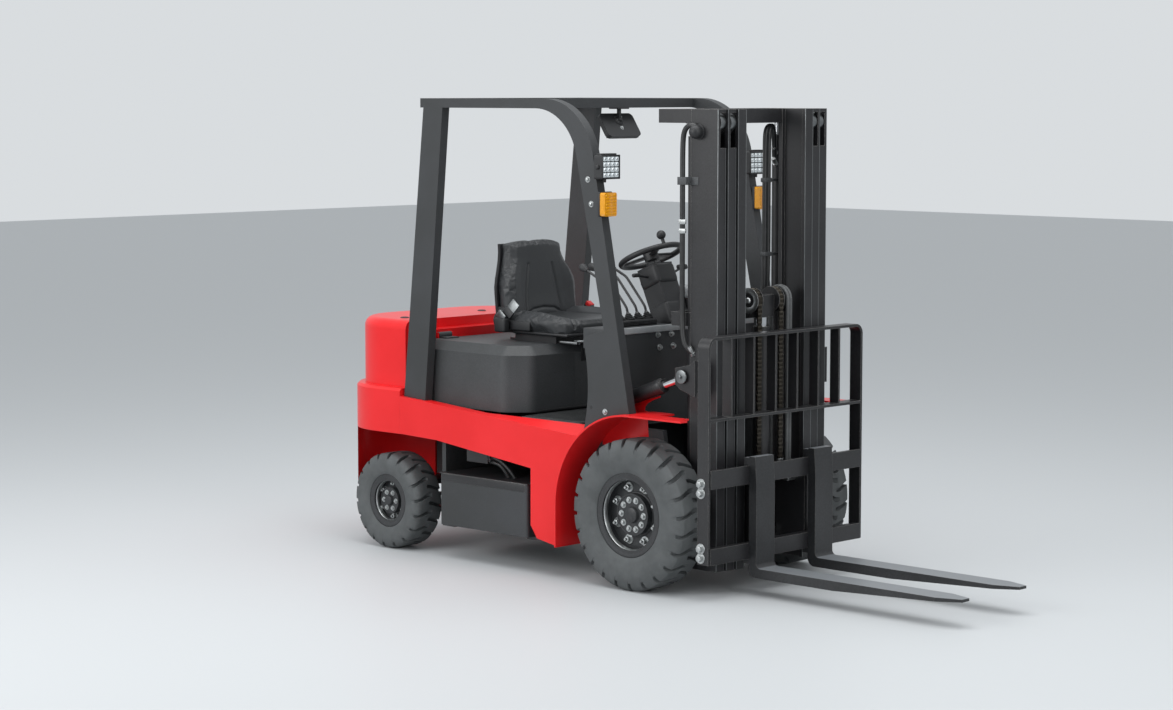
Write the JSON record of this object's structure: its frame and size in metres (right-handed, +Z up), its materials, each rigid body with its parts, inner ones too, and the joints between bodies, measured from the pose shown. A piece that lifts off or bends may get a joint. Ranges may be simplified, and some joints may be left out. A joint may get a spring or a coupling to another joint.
{
  "type": "counterbalance forklift truck",
  "caption": "Electric counterbalance forklift with a three-stage mast, sliding forks on a carriage with load backrest, overhead guard, hinged hood with seat and rear steering",
  "frame": {"origin": "on the floor, at the centre of the truck's length and width", "axes": "+X forward along the forks, +Y to the driver's left, +Z up"},
  "size_m": [3.552, 1.15, 2.141],
  "materials": {
    "red_paint": "satin",
    "black_paint": "satin",
    "black_textured": "matte",
    "steel_grey": "satin",
    "cast": "matte",
    "tyre_rubber": "matte",
    "rim_paint": "satin",
    "bright_rod": "polished",
    "plastic": "matte",
    "lamp_lens": "gloss",
    "amber_lens": "gloss",
    "red_lens": "gloss",
    "seat_vinyl": "matte",
    "mirror_glass": "polished",
    "chain_steel": "oiled",
    "fork_steel": "satin"
  },
  "bodies": {
    "chassis": {"chassis_frame": "red_paint", "side_frames": "red_paint", "front_fenders": "red_paint", "counterweight": "red_paint", "axle_cradle": "cast", "battery": "black_textured", "entry_step": "black_textured", "drive_axle": "cast", "steer_axle": "cast", "floor_plate": "steel_grey", "front_cowl": "black_textured", "steering_column": "plastic", "control_levers": "plastic", "pedals": "steel_grey", "power_pack": "cast", "guard_sides": "black_textured", "guard_roof": "black_textured", "mirror_glass": "mirror_glass", "work_lamps": "lamp_lens", "indicator_lamps": "amber_lens", "tail_lamps": "red_lens"},
    "hood": {"hood": "black_textured", "seat_base": "plastic", "seat_cushion": "seat_vinyl", "seat_backrest": "seat_vinyl"},
    "steering_wheel": {"steering_wheel": "plastic"},
    "front_wheel_right": {"front_tyre_right": "tyre_rubber", "front_rim_right": "rim_paint"},
    "front_wheel_left": {"front_tyre_left": "tyre_rubber", "front_rim_left": "rim_paint"},
    "knuckle_right": {"knuckle_right": "cast"},
    "knuckle_left": {"knuckle_left": "cast"},
    "steer_link_right": {"steer_link_right": "cast"},
    "steer_link_left": {"steer_link_left": "cast"},
    "steer_rod": {"steer_rod": "bright_rod"},
    "rear_wheel_right": {"rear_tyre_right": "tyre_rubber", "rear_rim_right": "rim_paint"},
    "rear_wheel_left": {"rear_tyre_left": "tyre_rubber", "rear_rim_left": "rim_paint"},
    "mast_outer": {"mast_outer_rails": "black_paint", "mast_outer_ties": "black_paint", "lift_barrels": "black_paint"},
    "mast_mid": {"mast_mid_rails": "black_paint", "mast_mid_ties": "black_paint", "lift_rods": "bright_rod"},
    "mast_inner": {"mast_inner_rails": "black_paint", "mast_inner_ties": "black_paint", "free_lift_barrel": "black_paint"},
    "free_lift_head": {"free_lift_head": "bright_rod", "lift_chains": "chain_steel"},
    "carriage": {"carriage": "black_paint", "load_backrest": "black_paint"},
    "fork_right": {"fork_right": "fork_steel"},
    "fork_left": {"fork_left": "fork_steel"},
    "tilt_barrels": {"tilt_barrels": "black_paint"},
    "tilt_rods": {"tilt_rods": "bright_rod"}
  },
  "joints": [
    {"name": "front_right_spin", "type": "hinge", "parent": "chassis", "child": "front_wheel_right", "pos_m": [0.224, -0.481, 0.334], "axis": [0, 1, 0], "continuous": true},
    {"name": "front_left_spin", "type": "hinge", "parent": "chassis", "child": "front_wheel_left", "pos_m": [0.224, 0.481, 0.334], "axis": [0, 1, 0], "continuous": true},
    {"name": "steer", "type": "hinge", "parent": "chassis", "child": "knuckle_right", "pos_m": [-1.376, -0.335, 0.2285], "axis": [0, 0, 1], "range_deg": [-75, 75]},
    {"name": "steer_left", "type": "hinge", "parent": "chassis", "child": "knuckle_left", "pos_m": [-1.376, 0.335, 0.2285], "axis": [0, 0, 1], "range_deg": [-76, 76]},
    {"name": "steer_rod_slide", "type": "slide", "parent": "chassis", "child": "steer_rod", "axis": [0, 1, 0], "range_m": [-0.09, 0.09]},
    {"name": "link_right_swing", "type": "hinge", "parent": "knuckle_right", "child": "steer_link_right", "pos_m": [-1.296, -0.335, 0.2285], "axis": [0, 0, 1], "range_deg": [-76, 76]},
    {"name": "link_left_swing", "type": "hinge", "parent": "knuckle_left", "child": "steer_link_left", "pos_m": [-1.296, 0.335, 0.2285], "axis": [0, 0, 1], "range_deg": [-76, 76]},
    {"name": "rear_right_spin", "type": "hinge", "parent": "knuckle_right", "child": "rear_wheel_right", "pos_m": [-1.376, -0.462, 0.2285], "axis": [0, 1, 0], "continuous": true},
    {"name": "rear_left_spin", "type": "hinge", "parent": "knuckle_left", "child": "rear_wheel_left", "pos_m": [-1.376, 0.462, 0.2285], "axis": [0, 1, 0], "continuous": true},
    {"name": "steering_wheel_turn", "type": "hinge", "parent": "chassis", "child": "steering_wheel", "pos_m": [-0.158, 0, 1.425], "axis": [-0.4067, 0, 0.9135], "range_deg": [-760, 760]},
    {"name": "hood_open", "type": "hinge", "parent": "chassis", "child": "hood", "pos_m": [-1.181, 0, 1.024], "axis": [0, -1, 0], "range_deg": [0, 50]},
    {"name": "mast_tilt", "type": "hinge", "parent": "chassis", "child": "mast_outer", "pos_m": [0.224, 0, 0.334], "axis": [0, 1, 0], "range_deg": [-10, 6]},
    {"name": "tilt_barrel_swing", "type": "hinge", "parent": "chassis", "child": "tilt_barrels", "pos_m": [-0.056, 0, 0.772], "axis": [0, 1, 0], "range_deg": [-12, 8]},
    {"name": "tilt_rod_slide", "type": "slide", "parent": "tilt_barrels", "child": "tilt_rods", "axis": [0.9421, 0, 0.3354], "range_m": [-0.095, 0.06]},
    {"name": "mast_lift", "type": "slide", "parent": "mast_outer", "child": "mast_mid", "axis": [0, 0, 1], "range_m": [0, 1.35]},
    {"name": "inner_lift", "type": "slide", "parent": "mast_mid", "child": "mast_inner", "axis": [0, 0, 1], "range_m": [0, 1.36]},
    {"name": "carriage_lift", "type": "slide", "parent": "mast_inner", "child": "carriage", "axis": [0, 0, 1], "range_m": [-0.065, 1.36], "deforming": ["lift_chains"]},
    {"name": "free_lift", "type": "slide", "parent": "mast_inner", "child": "free_lift_head", "axis": [0, 0, 1], "range_m": [-0.04, 0.7]},
    {"name": "fork_right_shift", "type": "slide", "parent": "carriage", "child": "fork_right", "axis": [0, -1, 0], "range_m": [-0.1, 0.235]},
    {"name": "fork_left_shift", "type": "slide", "parent": "carriage", "child": "fork_left", "axis": [0, 1, 0], "range_m": [-0.1, 0.235]}
  ],
  "couplings": [
    {"joint": "steer_left", "follows": "steer", "ratio": 1},
    {"joint": "steering_wheel_turn", "follows": "steer", "ratio": 10},
    {"joint": "steer_rod_slide", "follows": "steer", "m_per_rad": 0.0671},
    {"joint": "link_right_swing", "follows": "steer", "ratio": -1},
    {"joint": "link_left_swing", "follows": "steer", "ratio": -1},
    {"joint": "tilt_barrel_swing", "follows": "mast_tilt", "ratio": 0.81022},
    {"joint": "tilt_rod_slide", "follows": "mast_tilt", "m_per_rad": 0.51009},
    {"joint": "inner_lift", "follows": "mast_lift", "ratio": 1},
    {"joint": "free_lift", "follows": "carriage_lift", "ratio": 0.5}
  ]
}
